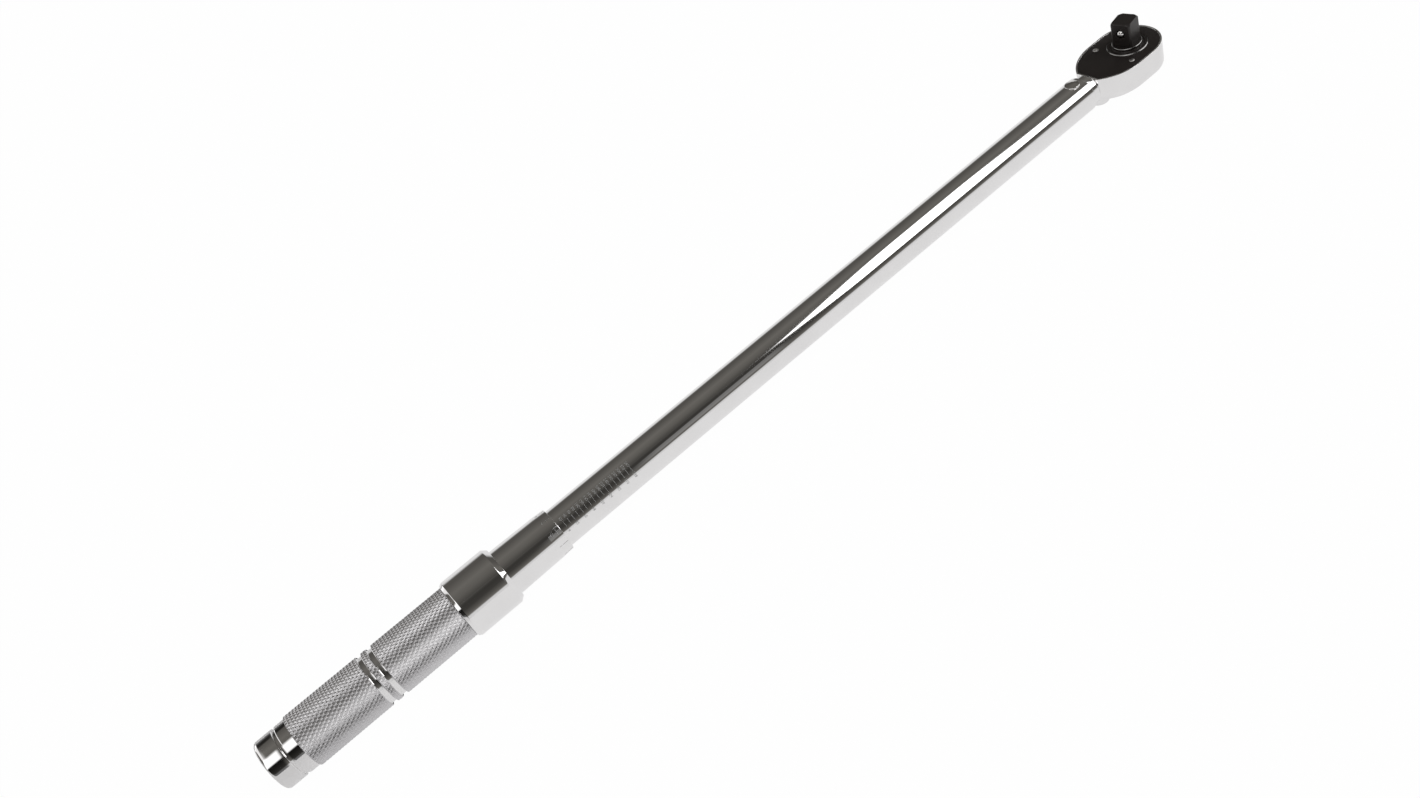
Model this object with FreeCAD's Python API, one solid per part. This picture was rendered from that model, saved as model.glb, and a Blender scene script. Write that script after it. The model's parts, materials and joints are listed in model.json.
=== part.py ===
import FreeCAD, Part
import math
import os

from FreeCAD import Vector

# Click torque wrench with a reversible ratchet head. Millimetres.
# The drive axis is Z and the tube's centreline is X; they cross at the origin.
# The drive square points up, and the handle lies along -X.

# ---- driving dimensions ----
# lengths along X
wrench_reach = 644.5  # drive axis to the butt of the handle
cap_length = 11.1
cap_groove = 1.8
ring_length = 6.1  # smooth ring behind the knurl
grip_length = 102.5  # knurl, from the smooth ring to its end under the lock ring
land_length = 3.4  # narrow knurled land between the two grooves
groove_width = 2.9
groove_depth = 1.25
rear_knurl_length = 44.9
knurl_cover = 3.4  # knurl that the lock ring covers
lock_ring_length = 30.8
index_sleeve_length = 36.0  # in front of the lock ring
sleeve_edge_length = 7.9  # bevelled front edge of the index sleeve
sleeve_spigot_length = 6.0
neck_length = 6.08
pivot_inset = 7.0  # front end of the tube to the pivot pin

# tube and handle
tube_d = 23.0
tube_wall = 2.0
sleeve_wall = 2.4
sleeve_taper = 0.45  # fall in radius along the index sleeve
sleeve_bevel = 0.4  # further fall over its front edge
knurl_step = 1.75  # grip above the index sleeve
ring_step = 0.95  # smooth ring below the grip
lock_ring_wall = 1.55
carrier_wall = 0.6  # screw carrier's step into the grip

# ratchet
gear_tip_r = 15.5
teeth = 36
tooth_depth = 1.4
lower_journal_r = 8.95
upper_journal_r = 12.5
shoulder_r = 9.0
shoulder_height = 1.8
square = 12.7
square_length = 15.5
square_corner = 1.3
tip_flat = 0.7  # radius of the tip's flat beyond the sides
square_turn = 12.5  # degrees, as it stands at rest
ball_r = 2.5
ball_out = 0.9
ball_below_tip = 6.5
pawl_gap = 6.0  # gear to the pawl's pin
pawl_rock = 6.0  # degrees each way from its middle
pawl_half_width = 10.5
pawl_back = 2.8
pawl_pin_r = 2.0
lever_gap = 8.0  # pawl's pin to the lever's axis
lever_throw = 35.0  # degrees each way from its middle
lever_shaft_r = 4.0
lever_hub_r = 6.2
lever_tab_length = 16.0
rivet_r = 1.4
rivet_shank_r = 1.1
rivet_land = 1.65  # metal between the gear's room and a rivet
rivet_angle = 132.0  # degrees round the drive from +X

# head
nose_wall = 4.3
head_height = 17.0
floor_thickness = 3.5
cheek_start = 17.5  # cheeks begin this far in front of the lever's axis
cheek_r = 31.4  # arc that draws the head in to its neck
waist = 16.2  # width where the cheeks meet the neck
neck_bulge = 1.3  # neck above the head's faces
head_edge = 3.0  # rounding of the back edge
rim = 1.1  # chrome rim round the cover plate
cover_thickness = 1.4
cover_recess = 0.2  # cover plate below the rim

# click mechanism
pivot_pin_r = 4.6
pin_dome = 1.2
click_angle = 1.5  # degrees
tail_height = 11.0
block_arm = 90.0  # pivot pin to the block's front face
block_length = 9.0
block_height = 8.0
pocket_wall = 1.95
pocket_depth = 1.5
plunger_length = 42.5
spigot_length = 12.0
spigot_r = 5.2
spring_length = 250.0
spring_wire = 3.2
spring_turns = 26
seat_thickness = 8.0
thrust_seat_length = 12.0
thrust_ball_r = 4.0
ball_seat_share = 0.8  # of its radius that a ball stands out of the thrust seat

# adjusting screw
screw_d = 12.0
screw_travel = 45.9  # sixteen turns of 2.87 mm
screw_head_r = 10.0
screw_head_length = 4.0
screw_reach = 33.7  # rear end of the tube to the screw's tip
nut_length = 24.0
nut_flange = 2.0
nut_pin_r = 1.5
carrier_length = 12.0
cap_spigot_length = 9.2

# handle lock
lock_travel = 4.0
lock_ball_r = 1.75
lock_ball_place = 11.5  # in front of the knurl
lock_balls = 3
flutes = 12
flute_depth = 1.0
lock_wire = 0.9
lock_turns = 2.5
snap_ring_width = 1.2
snap_ring_inset = 2.5
land_width = 1.9  # lock ring land between the balls and the spring

# clearances
running = 0.05
loose = 0.3
free = 0.6
slack = 0.4
stop_gap = 2.0

# ---- places along X ----
cavity_r = gear_tip_r + free
head_r = cavity_r + nose_wall
pawl_x = -gear_tip_r - pawl_gap
lever_x = pawl_x - lever_gap
cheek_x = lever_x + cheek_start
tube_r = tube_d / 2
head_top = head_height / 2
neck_r = head_top + neck_bulge
neck_x = cheek_x - math.sqrt(cheek_r**2 - (cheek_r - head_r + waist / 2) ** 2)
tube_front_x = neck_x - neck_length
pivot_x = tube_front_x - pivot_inset
block_front_x = pivot_x - block_arm
block_rear_x = block_front_x - block_length
tail_end_x = block_front_x - pocket_depth
plunger_front_x = block_rear_x + pocket_depth
plunger_rear_x = plunger_front_x - plunger_length
spring_rear_x = plunger_rear_x - spring_length
seat_rear_x = spring_rear_x - seat_thickness

butt_x = -wrench_reach
cap_front_x = butt_x + cap_length
grip_rear_x = cap_front_x + cap_groove
knurl_rear_x = grip_rear_x + ring_length
knurl_front_x = knurl_rear_x + grip_length
lock_rear_x = knurl_front_x - knurl_cover
lock_front_x = lock_rear_x + lock_ring_length
sleeve_front_x = lock_front_x + index_sleeve_length
snap_ring_x = lock_front_x - snap_ring_inset
sleeve_rear_x = snap_ring_x - 2 * snap_ring_width
sleeve_spigot_x = sleeve_rear_x - sleeve_spigot_length
lock_ball_x = knurl_front_x + lock_ball_place
cap_spigot_x = grip_rear_x + cap_spigot_length
carrier_rear_x = cap_spigot_x + 0.8
carrier_front_x = carrier_rear_x + carrier_length
nut_rear_x = carrier_front_x + screw_travel + stop_gap
tube_rear_x = nut_rear_x + nut_flange
nut_front_x = tube_rear_x + nut_length
screw_tip_x = tube_rear_x + screw_reach
thrust_ball_x = screw_tip_x + 0.7 * thrust_ball_r
thrust_rear_x = thrust_ball_x + ball_seat_share * thrust_ball_r
thrust_front_x = thrust_rear_x + thrust_seat_length

# ---- radii and heights that follow ----
bore_r = tube_r - tube_wall
sleeve_bore_r = tube_r + running
sleeve_r = sleeve_bore_r + sleeve_wall
grip_bore_r = tube_r + slack
grip_r = sleeve_r + knurl_step
ring_r = grip_r - ring_step
guide_r = sleeve_r + running
skirt_r = grip_r + loose
lock_r = skirt_r + lock_ring_wall
carrier_r = grip_bore_r + carrier_wall
sleeve_spigot_r = (sleeve_r + sleeve_bore_r) / 2
screw_r = screw_d / 2
swing = block_arm * math.tan(math.radians(click_angle))
tail_half = math.sqrt((bore_r - slack) ** 2 - (tail_height / 2) ** 2) - swing
block_width = 2 * (tail_half - pocket_wall)
rivet_ring_r = cavity_r + rivet_land + rivet_shank_r
plate_top = head_top - cover_recess
plate_bottom = plate_top - cover_thickness
cavity_floor = -head_top + floor_thickness
gear_top = plate_bottom - 0.1
gear_bottom = cavity_floor + 0.1
journal_top = head_top + 0.1
shoulder_top = journal_top + shoulder_height
tip_top = shoulder_top + square_length
ball_z = tip_top - ball_below_tip
ball_centre = square / 2 + ball_out - ball_r

X = Vector(1, 0, 0)
Z = Vector(0, 0, 1)
HERE = Vector(0, 0, 0)


# ---- shape helpers ----
def turned(points):
    """Solid of revolution about X from (x, radius) points."""
    outline = Part.makePolygon([Vector(x, r, 0) for x, r in points + points[:1]])
    return Part.Face(outline).revolve(HERE, X, 360)


def pipe(x0, x1, outer, inner=0.0):
    tube = Part.makeCylinder(outer, x1 - x0, Vector(x0, 0, 0), X)
    if inner:
        tube = tube.cut(Part.makeCylinder(inner, x1 - x0, Vector(x0, 0, 0), X))
    return tube


def post(x, y, z0, z1, r):
    """Upright cylinder."""
    return Part.makeCylinder(r, z1 - z0, Vector(x, y, z0), Z)


def block(x0, x1, width, z0, z1, y=0.0):
    """Box centred on y."""
    return Part.makeBox(x1 - x0, width, z1 - z0, Vector(x0, y - width / 2, z0))


def prism(points, z0, z1):
    outline = Part.makePolygon([Vector(x, y, z0) for x, y in points + points[:1]])
    return Part.Face(outline).extrude(Vector(0, 0, z1 - z0))


def turn_about(shape, x, degrees):
    """Copy of a shape, turned about the upright axis at x."""
    copy = shape.copy()
    copy.rotate(Vector(x, 0, 0), Z, degrees)
    return copy


def coil(x0, x1, mean_r, wire_r, turns):
    """Helical spring along X whose wire starts and ends inside x0 and x1."""
    height = x1 - x0 - 2 * wire_r
    helix = Part.makeHelix(height / turns, height, mean_r)
    rise = math.atan2(height / turns, 2 * math.pi * mean_r)
    tangent = Vector(0, math.cos(rise), math.sin(rise))
    section = Part.Wire(Part.Circle(Vector(mean_r, 0, 0), tangent, wire_r).toShape())
    spring = Part.Wire(helix).makePipeShell([section], True, True)
    spring.rotate(HERE, Vector(0, 1, 0), 90)
    spring.translate(Vector(x0 + wire_r, 0, 0))
    return spring


def joined(shapes):
    return shapes[0].fuse(shapes[1:]).removeSplitter()


def group(shapes):
    return Part.makeCompound(shapes)


def save(name, shape):
    shape.exportStep("parts/" + name + ".step")


# ---- head ----
def pear(inset, end_x, z0, z1):
    """Pear-shaped slab: the head's outline drawn in by inset, cut off at end_x."""
    r = head_r - inset
    cheek = cheek_r - inset
    centre = Vector(cheek_x, head_r - cheek_r, z0)

    def cheek_point(x):
        return Vector(x, centre.y + math.sqrt(cheek**2 - (x - centre.x) ** 2), z0)

    def mirrored(point):
        return Vector(point.x, -point.y, point.z)

    nose = Part.Arc(Vector(0, -r, z0), Vector(r, 0, z0), Vector(0, r, z0)).toShape()
    start = Vector(cheek_x, r, z0)
    middle = cheek_point((end_x + cheek_x) / 2)
    end = cheek_point(end_x)
    edges = [
        nose,
        Part.LineSegment(Vector(0, r, z0), start).toShape(),
        Part.Arc(start, middle, end).toShape(),
        Part.LineSegment(end, mirrored(end)).toShape(),
        Part.Arc(mirrored(end), mirrored(middle), mirrored(start)).toShape(),
        Part.LineSegment(mirrored(start), Vector(0, -r, z0)).toShape(),
    ]
    return Part.Face(Part.Wire(edges)).extrude(Vector(0, 0, z1 - z0))


def rivet_places():
    angle = math.radians(rivet_angle)
    x = rivet_ring_r * math.cos(angle)
    y = rivet_ring_r * math.sin(angle)
    return [(x, -y), (x, y)]


def cavity():
    """Room for the gear, the pawl and the lever's shaft."""
    room = [
        post(0, 0, cavity_floor, plate_bottom, cavity_r),
        block(
            pawl_x - pawl_back - 1.6,
            -gear_tip_r + 5,
            2 * pawl_half_width + 3,
            cavity_floor,
            plate_bottom,
        ),
        post(lever_x, 0, cavity_floor, plate_bottom, lever_shaft_r + 1.6),
    ]
    return joined(room)


def tail():
    """Lever behind the neck, inside the tube, with the front pocket of the block."""
    barrel_r = bore_r - slack
    barrel_rear = pivot_x - 10.0
    shank = turned(
        [
            (barrel_rear - 6, 0),
            (barrel_rear - 6, tail_half - 0.3),
            (barrel_rear, barrel_r),
            (tube_front_x + 2.0, barrel_r),
            (tube_front_x + 2.0, 0),
        ]
    )
    bar = block(
        tail_end_x, barrel_rear, 2 * tail_half, -tail_height / 2, tail_height / 2
    )
    arm = joined([shank, bar])
    return arm.cut(pocket(block_front_x, tail_end_x))


def pocket(floor_x, mouth_x):
    """Flared recess that holds one end of the trip block."""
    flare = pocket_depth * math.tan(math.radians(22))
    half = block_width / 2 + running
    sides = [
        (floor_x, -half),
        (floor_x, half),
        (mouth_x, half + flare),
        (mouth_x, -half - flare),
    ]
    high = block_height / 2 + 0.1
    return prism(sides, -high, high)


def waist_corners():
    """What is taken off the back of the head, where it comes in to the neck."""
    start = neck_x - 1
    end = neck_x + 12
    start_r = neck_r - 1.8
    cone = turned([(start, 0), (start, start_r), (end, start_r + 10.4), (end, 0)])
    return block(start, end, 2 * head_r + 2, -head_top - 1, 0).cut(cone)


def make_head():
    slab = pear(0, neck_x, -head_top, head_top)
    back_edges = [e for e in slab.Edges if e.BoundBox.ZMax < -head_top + 0.01]
    curved = [e for e in back_edges if e.BoundBox.XMax > neck_x + 0.01]
    slab = slab.makeFillet(head_edge, curved)
    slab = slab.cut(waist_corners())
    neck = turned(
        [
            (tube_front_x + 0.35, 0),
            (tube_front_x + 0.35, neck_r - 0.5),
            (tube_front_x + 0.85, neck_r),
            (neck_x - 1.2, neck_r),
            (neck_x + 0.6, neck_r - 1.2),
            (neck_x + 3.2, neck_r - 3.4),
            (neck_x + 3.2, 0),
        ]
    )
    body = joined([slab, neck, tail()])
    body = body.cut(cover_shape(head_top + 2))
    body = body.cut(cavity())
    body = body.cut(post(0, 0, -head_top, cavity_floor, lower_journal_r + running))
    lever_bore = post(
        lever_x, 0, -head_top, cavity_floor, lever_shaft_r + running
    )
    body = body.cut(lever_bore)
    pin_hole = post(pawl_x, 0, cavity_floor - 2.4, cavity_floor, pawl_pin_r)
    body = body.cut(pin_hole)
    for x, y in rivet_places():
        body = body.cut(post(x, y, plate_bottom - 7, plate_bottom, rivet_shank_r))
    return body.cut(post(pivot_x, 0, -tube_r, tube_r, pivot_pin_r + running))


def cover_shape(top):
    return pear(rim, neck_x + 1.6, plate_bottom, top)


def make_cover():
    plate = cover_shape(plate_top)
    plate = plate.cut(post(0, 0, plate_bottom, plate_top, upper_journal_r + running))
    for x, y in rivet_places():
        plate = plate.cut(post(x, y, plate_bottom, plate_top, rivet_shank_r))
    return plate


def dome(x, y, base_z, base_r, height):
    """Spherical cap on an upright axis."""
    ball = (base_r**2 + height**2) / (2 * height)
    sphere = Part.makeSphere(ball, Vector(x, y, base_z + height - ball))
    return sphere.common(post(x, y, base_z, base_z + height, base_r))


def make_rivets():
    rivets = []
    for x, y in rivet_places():
        shank = post(x, y, plate_bottom - 7, plate_top, rivet_shank_r)
        rivets.append(joined([shank, dome(x, y, plate_top, rivet_r, 0.6)]))
    return group(rivets)


def make_pawl_pin():
    return post(pawl_x, 0, cavity_floor - 2.4, plate_bottom, pawl_pin_r)


# ---- ratchet ----
def gear_outline(extra):
    """Toothed outline, grown by extra, with a gap facing the pawl."""
    tip_r = gear_tip_r + extra
    root_r = gear_tip_r - tooth_depth + extra
    pitch = 360 / teeth
    points = []
    for tooth in range(teeth):
        centre = (tooth + 0.5) * pitch
        grown = math.degrees(extra / gear_tip_r)
        for shift, r in (
            (-0.42 * pitch - grown, root_r),
            (-0.1 * pitch - grown, tip_r),
            (0.1 * pitch + grown, tip_r),
            (0.42 * pitch + grown, root_r),
        ):
            angle = math.radians(centre + shift)
            points.append((r * math.cos(angle), r * math.sin(angle)))
    return points


def make_drive():
    gear = prism(gear_outline(0), gear_bottom, gear_top)
    lower = post(0, 0, -head_top + 0.1, gear_bottom, lower_journal_r)
    upper = post(0, 0, gear_top, journal_top, upper_journal_r)
    groove = post(0, 0, journal_top - 0.4, journal_top, shoulder_r + 1.3).cut(
        post(0, 0, journal_top - 0.4, journal_top, shoulder_r + 0.6)
    )
    shoulder = post(0, 0, journal_top, shoulder_top, shoulder_r)
    rim_edges = [e for e in shoulder.Edges if e.BoundBox.ZMin > shoulder_top - 0.01]
    shoulder = shoulder.makeChamfer(0.3, rim_edges)
    half = square / 2
    peg = Part.makeBox(
        square, square, square_length, Vector(-half, -half, shoulder_top)
    )
    upright = [e for e in peg.Edges if e.BoundBox.ZLength > 1]
    peg = peg.makeFillet(square_corner, upright)
    cone_r = half + tip_flat + square_length
    cone = Part.makeCone(cone_r, half + tip_flat, square_length, Vector(0, 0, shoulder_top))
    peg = peg.common(cone)
    peg = turn_about(peg, 0, square_turn)
    drive = joined([gear, lower, upper.cut(groove), shoulder, peg])
    hole = Part.makeCylinder(
        ball_r + running, half + 1.5, Vector(-half, 0, ball_z), X
    )
    return drive.cut(turn_about(hole, 0, square_turn))


def make_detent_ball():
    ball = Part.makeSphere(ball_r, Vector(-ball_centre, 0, ball_z))
    return turn_about(ball, 0, square_turn)


def make_detent_spring():
    spring = coil(ball_r - ball_centre, 1.5, ball_r - 0.8, 0.3, 3)
    spring.translate(Vector(0, 0, ball_z))
    return turn_about(spring, 0, square_turn)


def make_pawl():
    """Two-ended pawl: each end is cut by the gear as it stands when engaged."""
    back_x = pawl_x - pawl_back
    low = cavity_floor + 0.2
    high = plate_bottom - 0.2
    pawl = block(back_x, -gear_tip_r + 4.2, 2 * pawl_half_width, low, high)
    cutter = prism(gear_outline(0.08), low - 1, high + 1)
    inner = post(0, 0, low - 1, high + 1, gear_tip_r - tooth_depth + 0.3)
    for side in (-1, 1):
        pawl = pawl.cut(turn_about(cutter, pawl_x, side * pawl_rock))
        pawl = pawl.cut(turn_about(inner, pawl_x, side * pawl_rock))
    middle = post(0, 0, low - 1, high + 1, gear_tip_r + 0.9)
    middle = middle.common(block(back_x, 0, 9.0, low - 1, high + 1))
    pawl = pawl.cut(middle)
    pawl = pawl.cut(post(pawl_x, 0, low - 1, high + 1, pawl_pin_r + running))
    return turn_about(pawl, pawl_x, pawl_rock)


# ---- reverse lever, on the back of the head ----
def make_lever():
    hub_top = -head_top - 0.2
    hub_bottom = -tube_r - 2.5
    hub = post(lever_x, 0, hub_bottom, hub_top, lever_hub_r)
    face = [e for e in hub.Edges if e.BoundBox.ZMax < hub_bottom + 0.01]
    hub = hub.makeFillet(1.0, face)
    shaft = post(lever_x, 0, hub_top, plate_bottom - 0.3, lever_shaft_r)
    tab_x = lever_x - lever_tab_length
    tab = block(tab_x, lever_x, 7.0, -tube_r - 3.1, -tube_r - 0.5)
    far = [e for e in tab.Edges if e.BoundBox.XMax < tab_x + 0.01]
    tab = tab.makeFillet(2.4, [e for e in far if e.BoundBox.ZLength > 1])
    lever = joined([hub, shaft, tab])
    hole = Part.makeCylinder(1.55, lever_shaft_r + 2.0, Vector(lever_x - 2, 0, 1), X)
    lever = lever.cut(hole)
    return turn_about(lever, lever_x, -lever_throw)


def make_pawl_plunger():
    nose_x = pawl_x - pawl_back - loose
    stem = Part.makeCylinder(1.5, 3.2, Vector(nose_x - 4.7, 0, 1), X)
    nose = Part.makeSphere(1.5, Vector(nose_x - 1.5, 0, 1))
    plunger = joined([stem, nose])
    return turn_about(plunger, lever_x, -lever_throw)


def make_plunger_spring():
    spring = coil(lever_x - 2, lever_x + 0.2, 1.1, 0.2, 3)
    spring.translate(Z)
    return turn_about(spring, lever_x, -lever_throw)


# ---- tube and click mechanism ----
def make_tube():
    tube = turned(
        [
            (tube_rear_x, bore_r),
            (tube_rear_x, tube_r),
            (tube_front_x - 0.5, tube_r),
            (tube_front_x, tube_r - 0.5),
            (tube_front_x, bore_r),
        ]
    )
    tube = tube.cut(post(pivot_x, 0, -tube_r - 1, tube_r + 1, pivot_pin_r))
    tube = tube.cut(nut_pin_shapes())
    start = lock_ball_x - lock_ball_r - 1
    run = screw_travel + 2 * lock_ball_r
    centre = tube_r - flute_depth + lock_ball_r
    cutters = []
    for flute in range(flutes):
        angle = 2 * math.pi * flute / flutes
        base = Vector(start, centre * math.cos(angle), centre * math.sin(angle))
        cutters.append(Part.makeCylinder(lock_ball_r + running, run, base, X))
    return tube.cut(cutters)


def make_pivot_pin():
    """Pin across the tube, with a domed head at each end."""
    flat = tube_r + 0.2
    pin = post(pivot_x, 0, -flat, flat, pivot_pin_r)
    cap = dome(pivot_x, 0, flat, pivot_pin_r, pin_dome - 0.2)
    other = cap.copy()
    other.rotate(Vector(pivot_x, 0, 0), X, 180)
    return joined([pin, cap, other])


def make_trip_block():
    return block(
        block_rear_x, block_front_x, block_width, -block_height / 2, block_height / 2
    )


def make_plunger():
    r = bore_r - running
    waist = r - 0.8
    third = plunger_length / 3
    body = turned(
        [
            (plunger_rear_x - spigot_length, 0),
            (plunger_rear_x - spigot_length, spigot_r - 1),
            (plunger_rear_x - spigot_length + 1, spigot_r),
            (plunger_rear_x, spigot_r),
            (plunger_rear_x, r - 0.4),
            (plunger_rear_x + 0.4, r),
            (plunger_rear_x + third, r),
            (plunger_rear_x + third + 0.8, waist),
            (plunger_front_x - third - 0.8, waist),
            (plunger_front_x - third, r),
            (plunger_front_x - 0.4, r),
            (plunger_front_x, r - 0.4),
            (plunger_front_x, 0),
        ]
    )
    return body.cut(pocket(block_rear_x, plunger_front_x))


def make_main_spring():
    mean_r = bore_r - 0.7 - spring_wire / 2
    return coil(spring_rear_x, plunger_rear_x, mean_r, spring_wire / 2, spring_turns)


def make_spring_seat():
    """Guide behind the main spring, with a spigot in its last coils."""
    r = bore_r - running
    return turned(
        [
            (seat_rear_x, 0),
            (seat_rear_x, r),
            (spring_rear_x, r),
            (spring_rear_x, spigot_r),
            (spring_rear_x + spigot_length - 1, spigot_r),
            (spring_rear_x + spigot_length, spigot_r - 1),
            (spring_rear_x + spigot_length, 0),
        ]
    )


def make_spacer():
    return pipe(thrust_front_x, seat_rear_x, bore_r - loose, screw_r)


def make_thrust_seat():
    seat = pipe(thrust_rear_x, thrust_front_x, bore_r - running)
    return seat.cut(make_thrust_ball())


def make_thrust_ball():
    return Part.makeSphere(thrust_ball_r, Vector(thrust_ball_x, 0, 0))


# ---- adjusting screw and its nut ----
def nut_pin_shapes():
    x = (tube_rear_x + nut_front_x) / 2
    inner = screw_r + 1.2
    length = tube_r - inner
    pins = []
    for side in (-1, 1):
        base = Vector(x, 0, side * inner)
        pins.append(Part.makeCylinder(nut_pin_r, length, base, Vector(0, 0, side)))
    return pins


def make_nut():
    body = pipe(tube_rear_x, nut_front_x, bore_r, screw_r + running)
    flange = pipe(nut_rear_x, tube_rear_x, tube_r - 0.2, screw_r + running)
    return joined([body, flange]).cut(nut_pin_shapes())


def make_screw():
    head_x = carrier_rear_x - screw_head_length
    screw = turned(
        [
            (head_x, 0),
            (head_x, screw_head_r - 0.5),
            (head_x + 0.5, screw_head_r),
            (carrier_rear_x, screw_head_r),
            (carrier_rear_x, screw_r),
            (screw_tip_x - 1.5, screw_r),
            (screw_tip_x, screw_r - 1.5),
            (screw_tip_x, 0),
        ]
    )
    cup = Part.makeSphere(thrust_ball_r + running, Vector(thrust_ball_x, 0, 0))
    screw = screw.cut(cup)
    corners = []
    for side in range(6):
        angle = math.radians(60 * side)
        corners.append(Vector(head_x, 4.6 * math.cos(angle), 4.6 * math.sin(angle)))
    socket = Part.Face(Part.makePolygon(corners + corners[:1]))
    return screw.cut(socket.extrude(Vector(3.0, 0, 0)))


def make_carrier():
    return pipe(carrier_rear_x, carrier_front_x, carrier_r, screw_r)


# ---- handle ----
def make_grip():
    """Knurled handle with its two polished grooves and the seat of the lock ring."""
    groove_r = grip_r - groove_depth
    edge = 0.6
    rear_end = knurl_rear_x + rear_knurl_length
    land = rear_end + groove_width
    front_start = land + land_length + groove_width
    lands = [
        (knurl_rear_x, rear_end),
        (land, land + land_length),
        (front_start, knurl_front_x),
    ]
    points = [(grip_rear_x, carrier_r), (grip_rear_x, ring_r)]
    base = ring_r
    for x0, x1 in lands:
        points += [(x0, base), (x0 + edge, grip_r), (x1 - edge, grip_r)]
        base = groove_r
        points.append((x1, base))
    points[-1] = (knurl_front_x, grip_r - edge)
    points += [
        (knurl_front_x, sleeve_r),
        (sleeve_rear_x, sleeve_r),
        (sleeve_rear_x, sleeve_spigot_r),
        (sleeve_spigot_x, sleeve_spigot_r),
        (sleeve_spigot_x, grip_bore_r),
        (carrier_front_x, grip_bore_r),
        (carrier_front_x, carrier_r),
    ]
    return turned(points).cut(ball_holes())


def ball_directions():
    angles = [2 * math.pi * turn / lock_balls for turn in range(lock_balls)]
    return [Vector(0, math.cos(angle), math.sin(angle)) for angle in angles]


def ball_holes():
    holes = []
    for out in ball_directions():
        base = Vector(lock_ball_x, 0, 0) + out * tube_r
        holes.append(Part.makeCylinder(lock_ball_r + running, 5.0, base, out))
    return holes


def make_lock_balls():
    """Balls at the height at which they clear the flutes."""
    height = tube_r + 0.1 + lock_ball_r
    balls = []
    for out in ball_directions():
        centre = Vector(lock_ball_x, 0, 0) + out * height
        balls.append(Part.makeSphere(lock_ball_r, centre))
    return group(balls)


def make_index_sleeve():
    tip_r = sleeve_r - sleeve_taper
    return turned(
        [
            (sleeve_spigot_x, sleeve_bore_r),
            (sleeve_spigot_x, sleeve_spigot_r),
            (sleeve_rear_x, sleeve_spigot_r),
            (sleeve_rear_x, sleeve_r),
            (snap_ring_x, sleeve_r),
            (snap_ring_x, sleeve_r - 0.5),
            (snap_ring_x + snap_ring_width, sleeve_r - 0.5),
            (snap_ring_x + snap_ring_width, sleeve_r),
            (lock_front_x + 1.0, sleeve_r),
            (sleeve_front_x - sleeve_edge_length, tip_r),
            (sleeve_front_x, tip_r - sleeve_bevel),
            (sleeve_front_x, sleeve_bore_r),
        ]
    )


def make_snap_ring():
    front = snap_ring_x + snap_ring_width
    ring = pipe(snap_ring_x, front, sleeve_r + 1.0, sleeve_r - 0.5)
    gap = block(snap_ring_x - 1, snap_ring_x + 3, 4.0, -lock_r, 0)
    return ring.cut(gap)


def lock_land_x():
    """Front edge of the cone that would press the balls in."""
    return lock_ball_x - lock_ball_r - 0.35


def make_lock_ring():
    """Sliding ring: skirt over the knurl, room above the balls, guide in front."""
    room_r = tube_r + 0.1 + 2 * lock_ball_r + loose
    land_x = lock_land_x()
    room_x = lock_ball_x + lock_ball_r + lock_travel + 0.25
    chamfer = 2.0
    chamfer_drop = 0.6 * (lock_r - skirt_r)
    front_chamfer = 2.7
    front_drop = 0.8 * front_chamfer
    return turned(
        [
            (lock_rear_x, skirt_r),
            (lock_rear_x, lock_r - chamfer_drop),
            (lock_rear_x + chamfer, lock_r),
            (lock_front_x - front_chamfer, lock_r),
            (lock_front_x, lock_r - front_drop),
            (lock_front_x, sleeve_r + 1.3),
            (snap_ring_x, sleeve_r + 1.3),
            (snap_ring_x, guide_r),
            (room_x, guide_r),
            (room_x, room_r),
            (land_x, room_r),
            (land_x - 0.9, guide_r + 0.2),
            (land_x - land_width, guide_r + 0.2),
            (land_x - land_width, skirt_r),
        ]
    )


def make_lock_spring():
    mean_r = (sleeve_r + skirt_r) / 2
    front = lock_land_x() - land_width
    return coil(knurl_front_x, front, mean_r, lock_wire / 2, lock_turns)


def make_end_cap():
    """Round-edged cap with a spigot in the grip and room for the screw's head."""
    r = ring_r - running
    edge = 2.0
    groove_r = ring_r - 0.9
    room_r = screw_head_r + 0.5
    room_x = carrier_rear_x - screw_head_length - 1.0
    outline = [
        Vector(butt_x, 0, 0),
        Vector(butt_x, r - edge, 0),
        Vector(butt_x + edge, r, 0),
        Vector(cap_front_x - 0.3, r, 0),
        Vector(cap_front_x, r - 0.3, 0),
        Vector(cap_front_x, groove_r, 0),
        Vector(grip_rear_x, groove_r, 0),
        Vector(grip_rear_x, carrier_r, 0),
        Vector(cap_spigot_x, carrier_r, 0),
        Vector(cap_spigot_x, room_r, 0),
        Vector(room_x, room_r, 0),
        Vector(room_x, 0, 0),
    ]
    bend = edge * (1 - math.sqrt(0.5))
    rounded = Vector(butt_x + bend, r - bend, 0)
    edges = [Part.LineSegment(outline[0], outline[1]).toShape()]
    edges.append(Part.Arc(outline[1], rounded, outline[2]).toShape())
    rest = outline[2:] + outline[:1]
    for start, end in zip(rest, rest[1:]):
        edges.append(Part.LineSegment(start, end).toShape())
    return Part.Face(Part.Wire(edges)).revolve(HERE, X, 360)


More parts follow.
